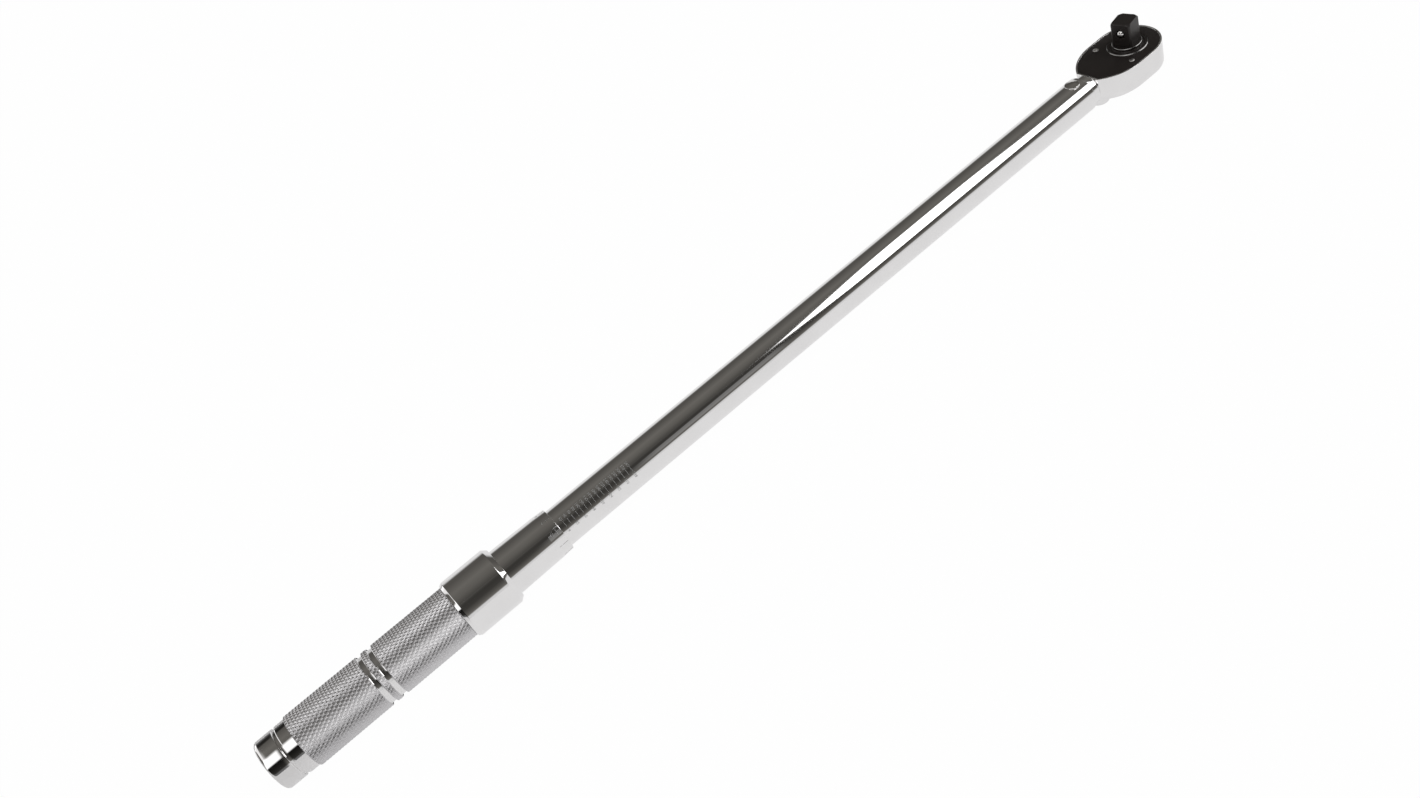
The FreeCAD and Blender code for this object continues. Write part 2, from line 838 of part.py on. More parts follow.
def main():
    os.makedirs("parts", exist_ok=True)
    save("ratchet_head", make_head())
    save("cover_plate", make_cover())
    save("cover_rivets", make_rivets())
    save("pawl_pin", make_pawl_pin())
    save("square_drive", make_drive())
    save("detent_ball", make_detent_ball())
    save("detent_spring", make_detent_spring())
    save("pawl", make_pawl())
    save("reverse_lever", make_lever())
    save("pawl_plunger", make_pawl_plunger())
    save("pawl_plunger_spring", make_plunger_spring())
    save("tube", make_tube())
    save("pivot_pin", make_pivot_pin())
    save("trip_block", make_trip_block())
    save("plunger", make_plunger())
    save("main_spring", make_main_spring())
    save("spring_seat", make_spring_seat())
    save("spring_spacer", make_spacer())
    save("thrust_seat", make_thrust_seat())
    save("thrust_ball", make_thrust_ball())
    save("adjusting_nut", make_nut())
    save("nut_pins", group(nut_pin_shapes()))
    save("adjusting_screw", make_screw())
    save("screw_carrier", make_carrier())
    save("grip", make_grip())
    save("index_sleeve", make_index_sleeve())
    save("lock_balls", make_lock_balls())
    save("snap_ring", make_snap_ring())
    save("lock_ring", make_lock_ring())
    save("lock_spring", make_lock_spring())
    save("end_cap", make_end_cap())


main()
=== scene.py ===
import json
import math

import bmesh
import bpy
from bpy.props import FloatProperty, FloatVectorProperty, IntProperty, PointerProperty
from mathutils import Matrix, Vector


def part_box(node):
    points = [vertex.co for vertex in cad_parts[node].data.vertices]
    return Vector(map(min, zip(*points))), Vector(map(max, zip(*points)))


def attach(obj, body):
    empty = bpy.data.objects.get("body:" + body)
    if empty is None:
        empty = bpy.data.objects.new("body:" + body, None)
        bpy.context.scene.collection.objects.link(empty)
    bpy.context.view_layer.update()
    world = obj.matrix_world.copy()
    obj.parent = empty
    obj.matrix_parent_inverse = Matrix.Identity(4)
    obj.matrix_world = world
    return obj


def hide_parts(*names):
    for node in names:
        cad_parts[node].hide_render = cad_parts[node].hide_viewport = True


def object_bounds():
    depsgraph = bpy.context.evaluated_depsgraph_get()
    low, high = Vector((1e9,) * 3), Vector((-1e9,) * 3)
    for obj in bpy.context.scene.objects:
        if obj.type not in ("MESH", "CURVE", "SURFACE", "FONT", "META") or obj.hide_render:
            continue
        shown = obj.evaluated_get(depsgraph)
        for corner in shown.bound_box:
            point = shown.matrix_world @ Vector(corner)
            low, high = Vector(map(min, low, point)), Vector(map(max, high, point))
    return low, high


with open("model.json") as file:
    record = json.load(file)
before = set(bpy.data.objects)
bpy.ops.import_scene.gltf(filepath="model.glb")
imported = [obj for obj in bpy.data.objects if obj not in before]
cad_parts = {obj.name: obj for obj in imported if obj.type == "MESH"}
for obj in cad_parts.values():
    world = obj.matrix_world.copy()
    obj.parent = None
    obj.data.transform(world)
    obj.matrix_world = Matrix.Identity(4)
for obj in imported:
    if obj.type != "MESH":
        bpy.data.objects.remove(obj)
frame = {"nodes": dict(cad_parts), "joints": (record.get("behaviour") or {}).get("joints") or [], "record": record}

bl_info = {
    "name": "Click torque wrench",
    "version": (1, 0, 0),
    "blender": (4, 5, 0),
    "location": "View3D > Sidebar > Torque wrench",
    "description": "Finished pieces, finishes and stage of a click torque wrench",
    "category": "Object",
}

CAD_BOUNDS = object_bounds()
UP = Vector((0, 0, 1))
ALONG = Vector((1, 0, 0))
MM = 0.001


def span(node):
    """Lowest and highest corner of a CAD node, in millimetres."""
    low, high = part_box(node)
    return Vector(low) / MM, Vector(high) / MM


# ---- places taken from the frame, in millimetres ----
TUBE_LOW, TUBE_HIGH = span("tube")
GRIP_LOW, GRIP_HIGH = span("grip")
RING_LOW, RING_HIGH = span("lock_ring")
SLEEVE_LOW, SLEEVE_HIGH = span("index_sleeve")
COVER_LOW, COVER_HIGH = span("cover_plate")
DRIVE_LOW, DRIVE_HIGH = span("square_drive")
BALL_LOW, BALL_HIGH = span("detent_ball")
PIN_LOW, PIN_HIGH = span("pivot_pin")
RIVET_LOW, RIVET_HIGH = span("cover_rivets")
CAP_LOW = span("end_cap")[0]
HEAD_HIGH = span("ratchet_head")[1]
LEVER_LOW = span("reverse_lever")[0]
JOINTS = {joint["name"]: joint for joint in frame["joints"]}

# ---- shapes, in millimetres and degrees ----
SHARP_ANGLE = 32.0
CUTTER_DEPTH = 8.0
SLEEVE_EDGE = 7.9  # length of the sleeve's sloping front
SLEEVE_FALL = 0.4  # how far that front falls
SECOND_UNIT = 0.7  # second row's reading for 1 of the first row's

# ---- surroundings ----
# Heights are degrees above the near horizon, places along are the x part of a
# direction, and a band is (start, full, end, softness of the end).
WHITE = (1, 1, 1, 1)
PAPER = (0.85, 0.85, 0.86, 1)
WALL_TONES = (
    (-20, 0.84), (7, 0.74), (11, 0.16), (20, 0.10), (33, 0.05), (48, 0.042),
    (60, 0.072), (80, 0.125), (105, 0.160), (125, 0.125), (146, 0.095),
    (163, 0.10), (177, 0.80),
)
WALL_WARMTH = (1.0, 0.955, 0.87)
PAPER_TONE = 0.5
LEFT_END = (-0.13, 0.04)
LOW_GAP = (-2, -1, 50, 4)
HIGH_GAP = (140, 150)
HIGH_GAP_ALONG = (-0.32, -0.27)
GAP_DARKNESS = 0.8
RIGHT_LIGHT = 2.6
RIGHT_TOP, RIGHT_TOP_SOFT = 58, 7
RIGHT_FOOT, RIGHT_FOOT_SOFT = 56, 3
RIGHT_CLIMB, RIGHT_CLIMB_ALONG = 31, (0.26, 0.43)
RIGHT_FALL, RIGHT_FALL_ALONG = 16, (0.50, 0.60)
RIGHT_DIP, RIGHT_DIP_ALONG = 24, (0.26, 0.40)
LEFT_LIGHT = 1.25
LEFT_HEIGHT = (42, 49, 88, 14)
FAINT_LIGHT = 0.15
FAINT_HEIGHT = (16, 20, 40, 4)
FAINT_ALONG = (0.08, 0.13, 0.30, 0.03)
SIDE_LIGHT = 0.9
SIDE_HEIGHT = (62, 85, 185, 10)
SIDE_ALONG = (-0.68, -0.62, -0.27, 0.06)

# ---- floor: how much mirror rays see of its white, and where, in metres ----
FLOOR_SIZE = 30.0
FLOOR_GAP = 0.0005
CAP_SHEEN, GRIP_SHEEN, RING_SHEEN = 0.38, 0.12, 0.20
PATCH_END, PATCH_SOFT = -0.57, 0.04
PATCH_SIDE = 0.02
PATCH_DARKNESS = 0.9
FLOOR_WHITE = 0.985


# ---- sizes and colours that can be changed ----
def count_setting(name, description, default):
    return IntProperty(name=name, description=description, default=default)


def mm_setting(name, description, default):
    return FloatProperty(
        name=name, description=description + " in mm", default=default
    )


def metre_setting(name, description, default):
    return FloatProperty(
        name=name, description=description, unit="LENGTH", default=default
    )


def angle_setting(name, description, degrees):
    return FloatProperty(
        name=name, description=description, subtype="ANGLE",
        default=math.radians(degrees),
    )


def colour_setting(name, description, *parts):
    return FloatVectorProperty(
        name=name, description=description, subtype="COLOR", size=4,
        default=(*parts, 1.0),
    )


class HandleSizes(bpy.types.PropertyGroup):
    knurl_count: count_setting("Knurl count", "Diamonds round the grip", 46)
    knurl_pitch: mm_setting("Knurl pitch", "Diamond length", 3.7)
    knurl_depth: mm_setting("Knurl depth", "Height of a diamond", 0.36)
    rear_knurl: mm_setting("Rear knurl", "Length of the rear zone", 44.9)
    land: mm_setting("Land", "Width of the land between the grooves", 3.4)
    groove: mm_setting("Groove", "Width of a polished groove", 2.9)
    groove_depth: mm_setting("Groove depth", "Depth of a groove", 1.25)
    ring: mm_setting("Smooth ring", "Smooth ring behind the knurl", 6.1)
    ring_step: mm_setting("Ring step", "Smooth ring below the knurl", 0.95)


class ScaleSizes(bpy.types.PropertyGroup):
    divisions: count_setting("Divisions", "Divisions of the scale", 16)
    division: mm_setting("Division", "Length of one division", 2.87)
    line: mm_setting("Line", "Width of an etched line", 0.22)
    tick: mm_setting("Tick", "Length of a tick", 1.7)
    digit: mm_setting("Digit", "Height of a digit", 1.6)
    turn: angle_setting("Place round the tube", "Angle of the scale's centre line", 138)
    lowest: count_setting("Lowest reading", "First number of the scale", 20)
    step: count_setting("Step", "Step of the scale's numbers", 20)


class HeadSizes(bpy.types.PropertyGroup):
    cheek_start: mm_setting("Cheek start", "Straight side", 12.0)
    cheek: mm_setting("Cheek", "Radius of the cheeks", 31.4)
    waist: mm_setting("Waist", "Width where the cheeks meet the neck", 16.2)
    rim: mm_setting("Rim", "Rim round the cover plate", 1.1)
    journal: mm_setting("Journal", "Radius of the drive's journal", 12.5)
    back_edge: mm_setting("Back edge", "Rounding of the back edge", 3.0)
    square: mm_setting("Square", "Drive square across flats", 12.7)
    square_turn: angle_setting("Square turn", "How the square stands at rest", 12.5)


class FinishColours(bpy.types.PropertyGroup):
    chrome: colour_setting("Chrome", "Polished chrome plate", 0.84, 0.83, 0.83)
    knurl: colour_setting("Knurl", "Satin chrome on the knurl", 0.68, 0.67, 0.68)
    black: colour_setting(
        "Black", "Black oxide on the plate and drive", 0.018, 0.015, 0.014
    )
    mark: colour_setting("Marks", "Etched marks", 0.42, 0.42, 0.42)
    steel: colour_setting("Steel", "Plain inner steel", 0.56, 0.55, 0.54)


class StageSizes(bpy.types.PropertyGroup):
    distance: metre_setting("Distance", "Camera to the wrench", 0.6707)
    right: metre_setting("Right", "Camera moved to its right", -0.0004)
    up: metre_setting("Up", "Camera moved to its top", 0.0018)
    aim: metre_setting("Aim", "Place on the tube at the picture's centre", -0.350)
    turn: angle_setting("Turn", "Camera's turn about the upright axis", -108.24)
    rise: angle_setting("Rise", "Camera's height angle", 41.79)
    roll: angle_setting("Roll", "Camera's roll", -27.27)
    lens: mm_setting("Lens", "Focal length", 30.42)


# ---- shader maths ----
class Value:
    """A shader socket that takes part in sums."""

    def __init__(self, tree, socket):
        self.tree = tree
        self.socket = socket

    def maths(self, operation, *terms):
        node = self.tree.nodes.new("ShaderNodeMath")
        node.operation = operation
        for place, term in enumerate(terms):
            if isinstance(term, Value):
                self.tree.links.new(term.socket, node.inputs[place])
            else:
                node.inputs[place].default_value = term
        return Value(self.tree, node.outputs[0])

    def __add__(self, other):
        return self.maths("ADD", self, other)

    def __radd__(self, other):
        return self.maths("ADD", other, self)

    def __sub__(self, other):
        return self.maths("SUBTRACT", self, other)

    def __rsub__(self, other):
        return self.maths("SUBTRACT", other, self)

    def __mul__(self, other):
        return self.maths("MULTIPLY", self, other)

    def __rmul__(self, other):
        return self.maths("MULTIPLY", other, self)

    def __truediv__(self, other):
        return self.maths("DIVIDE", self, other)

    def __rtruediv__(self, other):
        return self.maths("DIVIDE", other, self)


class Finish:
    """One material, built a node at a time."""

    def __init__(self, name, tree=None):
        if tree is None:
            self.material = bpy.data.materials.new(name)
            self.material.use_nodes = True
            tree = self.material.node_tree
        self.tree = tree
        self.tree.nodes.clear()

    def node(self, kind, settings=None, sockets=None, out=0):
        """Adds a node, sets it up, fills its sockets and returns one output."""
        node = self.tree.nodes.new(kind)
        for key, setting in (settings or {}).items():
            if key == "stops":
                self.set_stops(node.color_ramp, setting)
            else:
                setattr(node, key, setting)
        for key, term in (sockets or {}).items():
            if isinstance(term, Value):
                self.tree.links.new(term.socket, node.inputs[key])
            else:
                node.inputs[key].default_value = term
        if not node.outputs:
            return None
        return Value(self.tree, node.outputs[out])

    def set_stops(self, ramp, stops):
        while len(ramp.elements) > 1:
            ramp.elements.remove(ramp.elements[-1])
        for place, (position, colour) in enumerate(stops):
            stop = ramp.elements[0] if place == 0 else ramp.elements.new(position)
            stop.position = position
            stop.color = colour

    def place(self, scale=(1.0, 1.0, 1.0)):
        """Object coordinates, stretched by scale."""
        spot = self.node("ShaderNodeTexCoord", out=3)
        return self.node(
            "ShaderNodeMapping", {}, {"Vector": spot, "Scale": scale}
        )

    def noise(self, scale, detail=3.0, stretch=(1.0, 1.0, 1.0)):
        sockets = {"Vector": self.place(stretch), "Scale": scale, "Detail": detail}
        return self.node("ShaderNodeTexNoise", {}, sockets)

    def rise(self, value, start, end):
        """0 up to start, then smoothly up to 1 at end."""
        settings = {"interpolation_type": "SMOOTHSTEP"}
        sockets = {"Value": value, "From Min": start, "From Max": end}
        return self.node("ShaderNodeMapRange", settings, sockets)

    def band(self, value, limits):
        """1 inside a band with soft ends, and 0 outside it."""
        start, full, end, soft = limits
        return self.rise(value, start, full) * self.rise(end - value, 0, soft)

    def axes(self):
        """The three parts of the object coordinates."""
        spot = self.node("ShaderNodeTexCoord", out=3)
        parts = self.node("ShaderNodeSeparateXYZ", {}, {"Vector": spot}).socket.node
        return [Value(self.tree, output) for output in parts.outputs]

    def room_light(self, strength, colour=WHITE):
        sockets = {"Color": colour, "Strength": strength}
        return self.node("ShaderNodeBackground", {}, sockets)

    def tint(self, colour, darker, amount):
        """Mix from a colour to a darker one by a value."""
        settings = {"data_type": "RGBA"}
        sockets = {0: amount, 6: tuple(colour), 7: tuple(darker)}
        return self.node("ShaderNodeMix", settings, sockets, out=2)

    def bump(self, height, strength, distance):
        sockets = {"Height": height, "Strength": strength, "Distance": distance}
        return self.node("ShaderNodeBump", {}, sockets)

    def surface(self, **sockets):
        names = {key: key.replace("_", " ").title() for key in sockets}
        terms = {names[key]: term for key, term in sockets.items()}
        shader = self.node("ShaderNodeBsdfPrincipled", {}, terms)
        self.node("ShaderNodeOutputMaterial", {}, {"Surface": shader})
        return self.material


def warmth(tone, part):
    """Dim walls are a little olive, and white paper is not."""
    return WALL_WARMTH[part] if tone < PAPER_TONE else 1.0


def ramp_place(height):
    """Puts a height, from -20 to 180 degrees, between 0 and 1."""
    return height / 200 + 0.1


def shade(colour, factor):
    return (colour[0] * factor, colour[1] * factor, colour[2] * factor, 1.0)


def polished_chrome():
    """Bright plate with faint cloudiness and hairline polishing marks."""
    finish = Finish("polished chrome")
    colour = bpy.context.scene.wrench_colours.chrome
    cloud = finish.noise(60.0, 2.0)
    hairlines = finish.noise(900.0, 2.0, (0.06, 1.0, 1.0))
    return finish.surface(
        base_color=finish.tint(colour, shade(colour, 0.93), cloud),
        metallic=1.0,
        roughness=0.035 + cloud * 0.03 + hairlines * 0.02,
        normal=finish.bump(hairlines, 0.02, 0.00002),
    )


def knurled_chrome():
    """Plate over a cut knurl: less even, with a little grime scattered at random."""
    finish = Finish("knurled chrome")
    colour = bpy.context.scene.wrench_colours.knurl
    grain = finish.noise(700.0, 3.0)
    return finish.surface(
        base_color=finish.tint(colour, shade(colour, 0.85), grain),
        metallic=1.0,
        roughness=0.33 + grain * 0.08,
        normal=finish.bump(grain, 0.03, 0.00003),
    )


def black_oxide():
    """Oiled black oxide on ground steel."""
    finish = Finish("black oxide")
    colour = bpy.context.scene.wrench_colours.black
    cloud = finish.noise(90.0, 4.0)
    grain = finish.noise(2200.0, 2.0)
    return finish.surface(
        base_color=finish.tint(colour, shade(colour, 1.9), cloud),
        metallic=0.35,
        roughness=0.27 + cloud * 0.14,
        normal=finish.bump(grain, 0.05, 0.00003),
    )


def etched():
    """Frosted marks etched through the polish."""
    finish = Finish("etched mark")
    colour = bpy.context.scene.wrench_colours.mark
    grain = finish.noise(3000.0, 2.0)
    return finish.surface(
        base_color=finish.tint(colour, shade(colour, 0.8), grain),
        metallic=0.7,
        roughness=0.5 + grain * 0.15,
    )


def plain_steel(name, darkness, roughness):
    """Ground and oiled steel of the small and inner pieces."""
    finish = Finish(name)
    colour = shade(bpy.context.scene.wrench_colours.steel, darkness)
    cloud = finish.noise(120.0, 3.0)
    rings = finish.noise(1500.0, 2.0, (1.0, 0.1, 0.1))
    return finish.surface(
        base_color=finish.tint(colour, shade(colour, 0.75), cloud),
        metallic=1.0,
        roughness=roughness + rings * 0.12,
        normal=finish.bump(rings, 0.05, 0.00003),
    )


FINISHES = {}


def finish_named(name):
    """Makes each finish once."""
    if name not in FINISHES:
        makers = {
            "chrome": polished_chrome,
            "knurl": knurled_chrome,
            "black": black_oxide,
            "mark": etched,
            "bright steel": lambda: plain_steel("bright steel", 1.4, 0.08),
            "rivet steel": lambda: plain_steel("rivet steel", 1.35, 0.26),
            # lighter, shinier steel for thin rings on the drive's edges
            "lighter edge": lambda: plain_steel("lighter edge steel", 0.45, 0.18),
            "steel": lambda: plain_steel("ground steel", 1.0, 0.25),
            "spring": lambda: plain_steel("spring steel", 0.45, 0.3),
        }
        FINISHES[name] = makers[name]()
    return FINISHES[name]


# ---- mesh helpers, in millimetres ----
def verts_in(items):
    return [item for item in items if isinstance(item, bmesh.types.BMVert)]


def edges_in(items):
    return [item for item in items if isinstance(item, bmesh.types.BMEdge)]


def whole(bm):
    return bm.verts[:] + bm.edges[:] + bm.faces[:]


def move(bm, vec):
    bmesh.ops.translate(bm, verts=bm.verts, vec=vec)


def turn_flat(bm, angle, centre=(0, 0, 0)):
    """Turns a bmesh about the upright line through centre."""
    bmesh.ops.rotate(
        bm, verts=bm.verts, cent=centre, matrix=Matrix.Rotation(angle, 3, "Z")
    )


def rounded(corners, closed):
    """Profile points from (along, out, fillet radius) corners."""
    points = []
    count = len(corners)
    for place, (along, out, fillet) in enumerate(corners):
        here = Vector((along, out))
        inner = closed or 0 < place < count - 1
        if fillet <= 0 or not inner:
            points.append(here)
            continue
        before = Vector(corners[place - 1][:2]) - here
        after = Vector(corners[(place + 1) % count][:2]) - here
        half = before.angle(after) / 2
        reach = min(fillet / math.tan(half), before.length / 2, after.length / 2)
        start = here + before.normalized() * reach
        end = here + after.normalized() * reach
        steps = 5
        for step in range(steps + 1):
            share = step / steps
            curve = start.lerp(here, share).lerp(here.lerp(end, share), share)
            points.append(curve)
    return points


def turned(corners, axis=ALONG, centre=(0, 0, 0), steps=144):
    """Solid of revolution from a profile of (along, out, fillet) corners."""
    closed = corners[0][1] > 0 or corners[-1][1] > 0
    side = Vector((0, 1, 0)) if axis == ALONG else Vector((1, 0, 0))
    bm = bmesh.new()
    places = [
        Vector(centre) + axis * point.x + side * point.y
        for point in rounded(corners, closed)
    ]
    verts = [bm.verts.new(place) for place in places]
    pairs = list(zip(verts, verts[1:]))
    if closed:
        pairs.append((verts[-1], verts[0]))
    edges = [bm.edges.new(pair) for pair in pairs]
    bmesh.ops.spin(
        bm, geom=verts + edges, cent=centre, axis=axis, angle=2 * math.pi,
        steps=steps, use_merge=True,
    )
    bmesh.ops.remove_doubles(bm, verts=bm.verts, dist=1e-4)
    bmesh.ops.recalc_face_normals(bm, faces=bm.faces)
    return bm


def slab(outline, low, high):
    """Prism from a flat outline of (x, y) points. Returns it with its top face."""
    bm = bmesh.new()
    verts = [bm.verts.new((x, y, low)) for x, y in outline]
    base = bm.faces.new(verts)
    raised = bmesh.ops.extrude_face_region(bm, geom=[base])
    bmesh.ops.translate(bm, verts=verts_in(raised["geom"]), vec=(0, 0, high - low))
    bmesh.ops.recalc_face_normals(bm, faces=bm.faces)
    top = [item for item in raised["geom"] if isinstance(item, bmesh.types.BMFace)][0]
    return bm, top


def rim_edges(bm, level):
    """Edges that lie flat at one height."""
    return [
        edge for edge in bm.edges
        if all(abs(vert.co.z - level) < 1e-4 for vert in edge.verts)
    ]


def soften(bm, edges, width, segments):
    bmesh.ops.bevel(
        bm, geom=edges, offset=width, offset_type="OFFSET", segments=segments,
        profile=0.5, affect="EDGES", material=-1, clamp_overlap=True,
    )


def joined(first, *others):
    """Puts several bmeshes into the first."""
    for other in others:
        mesh = bpy.data.meshes.new("part")
        other.to_mesh(mesh)
        other.free()
        first.from_mesh(mesh)
        bpy.data.meshes.remove(mesh)
    return first


def linked(name, bm, scale=MM):
    """New object in the scene from a bmesh, which it uses up."""
    mesh = bpy.data.meshes.new(name)
    bm.to_mesh(mesh)
    bm.free()
    mesh.transform(Matrix.Scale(scale, 4))
    thing = bpy.data.objects.new(name, mesh)
    bpy.context.scene.collection.objects.link(thing)
    return thing


def smooth(mesh, sharp=SHARP_ANGLE):
    mesh.shade_smooth()
    mesh.set_sharp_from_angle(angle=math.radians(sharp))


def piece(name, bm, finish, body, nodes=(), sharp=SHARP_ANGLE):
    """Finished object from a bmesh in millimetres, riding on its body."""
    thing = linked(name, bm)
    smooth(thing.data, sharp)
    thing.data.materials.append(finish_named(finish))
    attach(thing, body)
    if nodes:
        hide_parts(*nodes)
    return thing


def carve(thing, cutter_bm):
    """Cuts a bmesh's shape, in millimetres, out of an object."""
    cutter = linked("cutter", cutter_bm)
    cut = thing.modifiers.new("cut", "BOOLEAN")
    cut.operation = "DIFFERENCE"
    cut.solver = "EXACT"
    cut.object = cutter
    bpy.context.view_layer.update()
    evaluated = thing.evaluated_get(bpy.context.evaluated_depsgraph_get())
    shaped = bpy.data.meshes.new_from_object(evaluated)
    thing.modifiers.clear()
    used = [thing.data, cutter.data]
    thing.data = shaped
    bpy.data.objects.remove(cutter)
    for mesh in used:
        bpy.data.meshes.remove(mesh)
    smooth(shaped)


def cylinder(radius, segments):
    """Upright cutter for a round hole."""
    bm = bmesh.new()
    bmesh.ops.create_cone(
        bm, cap_ends=True, segments=segments, radius1=radius, radius2=radius,
        depth=CUTTER_DEPTH,
    )
    return bm


def wrap(bm, radius, turn):
    """Rolls a flat sheet on to a tube: x stays, y goes round, z goes out."""
    for vert in bm.verts:
        angle = turn + vert.co.y / radius
        out = radius + vert.co.z
        vert.co = (vert.co.x, out * math.cos(angle), out * math.sin(angle))


# ---- handle ----
def repeated(bm, geom, step, times):
    """Adds copies of geom, each one more step away."""
    for number in range(1, times + 1):
        made = bmesh.ops.duplicate(bm, geom=geom)["geom"]
        away = [part * number for part in step]
        bmesh.ops.translate(bm, verts=verts_in(made), vec=away)


def knurl_sheet(start, end, radius, sizes):
    """Rolled sheet of raised diamonds, with its ends drawn down to the core."""
    width = 2 * math.pi * radius / sizes.knurl_count
    length = sizes.knurl_pitch
    flank = 0.38
    lip = 0.3
    bm = bmesh.new()
    bmesh.ops.create_circle(bm, cap_ends=True, segments=4, radius=0.5)
    bmesh.ops.scale(bm, vec=(length, width, 1), verts=bm.verts)
    bmesh.ops.inset_individual(
        bm, faces=bm.faces, thickness=width * flank, depth=sizes.knurl_depth,
        use_even_offset=True,
    )
    repeated(bm, whole(bm), (length / 2, width / 2, 0), 1)
    repeated(bm, whole(bm), (0, width, 0), sizes.knurl_count - 1)
    rows = math.ceil((end - start) / length) + 1
    repeated(bm, whole(bm), (length, 0, 0), rows)
    move(bm, (start, 0, 0))
    for place, facing in ((start + lip, -1), (end - lip, 1)):
        bmesh.ops.bisect_plane(
            bm, geom=whole(bm), plane_co=(place, 0, 0), plane_no=(facing, 0, 0),
            clear_outer=True,
        )
    wrap(bm, radius, 0.0)
    bmesh.ops.remove_doubles(bm, verts=bm.verts, dist=0.004)
    for place, shift in ((start + lip, -lip), (end - lip, lip)):
        rim = [
            edge for edge in bm.edges
            if edge.is_boundary and all(abs(v.co.x - place) < 1e-3 for v in edge.verts)
        ]
        grown = bmesh.ops.extrude_edge_only(bm, edges=rim)["geom"]
        for vert in verts_in(grown):
            down = (radius - 0.1) / math.hypot(vert.co.y, vert.co.z)
            vert.co = (place + shift, vert.co.y * down, vert.co.z * down)
    bmesh.ops.recalc_face_normals(bm, faces=bm.faces)
    return bm


class WRENCH_OT_grip(bpy.types.Operator):
    """Adds the knurled grip with its smooth ring and two polished grooves"""

    bl_idname = "wrench.grip"
    bl_label = "Grip"

    def execute(self, context):
        sizes = context.scene.wrench_handle
        outer = GRIP_HIGH.z
        core = outer - sizes.knurl_depth
        ring = outer - sizes.ring_step
        groove = outer - sizes.groove_depth
        bore = TUBE_HIGH.z + 0.4
        rear = GRIP_LOW.x
        knurl_rear = rear + sizes.ring
        knurl_front = RING_LOW.x + 3.4
        rear_end = knurl_rear + sizes.rear_knurl
        land = rear_end + sizes.groove
        land_end = land + sizes.land
        front = land_end + sizes.groove
        edge = 0.7
        corners = [
            (rear, bore + 0.6, 0),
            (rear, ring - 0.1, 0),
            (rear + 0.35, ring, 0.2),
            (knurl_rear, ring, 0),
            (knurl_rear, core - 0.1, 0),
        ]
        for start, end in ((rear_end, land), (land_end, front)):
            corners += [
                (start - edge, core - 0.05, 0),
                (start, groove + 0.15, 0.1),
                (start + 0.3, groove, 0.3),
                (end - 0.3, groove, 0.3),
                (end, groove + 0.15, 0.1),
                (end + edge, core - 0.05, 0),
            ]
        corners += [
            (knurl_front, core - 0.1, 0),
            (knurl_front, SLEEVE_HIGH.z, 0),
            (GRIP_HIGH.x, SLEEVE_HIGH.z, 0),
            (GRIP_HIGH.x, bore, 0),
        ]
        zones = (
            (knurl_rear, rear_end), (land, land_end), (front, knurl_front),
        )
        sheets = [knurl_sheet(start, end, core, sizes) for start, end in zones]
        grip = turned(corners)
        piece("grip_core", grip, "chrome", "handle", ["grip"])
        for number, sheet in enumerate(sheets):
            name = "grip_knurl_" + str(number + 1)
            piece(name, sheet, "knurl", "handle", sharp=12.0)
        return {"FINISHED"}


class WRENCH_OT_end_cap(bpy.types.Operator):
    """Adds the polished end cap"""

    bl_idname = "wrench.end_cap"
    bl_label = "End cap"

    def execute(self, context):
        butt = CAP_LOW.x
        front = GRIP_LOW.x
        face = front - 1.8
        outer = GRIP_HIGH.z - context.scene.wrench_handle.ring_step - 0.05
        corners = [
            (butt, 0, 0),
            (butt, outer, 2.4),
            (face - 0.25, outer, 0.2),
            (face, outer - 0.3, 0.1),
            (face + 0.1, outer - 0.85, 0.1),
            (front + 0.4, outer - 0.85, 0),
            (front + 0.4, 0, 0),
        ]
        piece("cap", turned(corners), "chrome", "handle", ["end_cap"])
        return {"FINISHED"}


class WRENCH_OT_lock_ring(bpy.types.Operator):
    """Adds the polished lock ring with its two chamfers"""

    bl_idname = "wrench.lock_ring"
    bl_label = "Lock ring"

    def execute(self, context):
        outer = RING_HIGH.z
        skirt = GRIP_HIGH.z + 0.3
        rear, front = RING_LOW.x, RING_HIGH.x
        guide = SLEEVE_HIGH.z + 0.05
        corners = [
            (rear, skirt, 0.1),
            (rear, outer - 1.0, 0.5),
            (rear + 1.9, outer, 1.0),
            (front - 2.7, outer, 1.3),
            (front, outer - 2.1, 0.9),
            (front, guide + 1.3, 0.2),
            (front - 2.5, guide + 1.3, 0),
            (front - 2.5, guide, 0),
            (front - 10, guide, 0),
            (front - 10, skirt, 0),
        ]
        ring = turned(corners)
        nodes = ["lock_ring"]
        piece("locking_ring", ring, "chrome", "lock_ring", nodes)
        return {"FINISHED"}


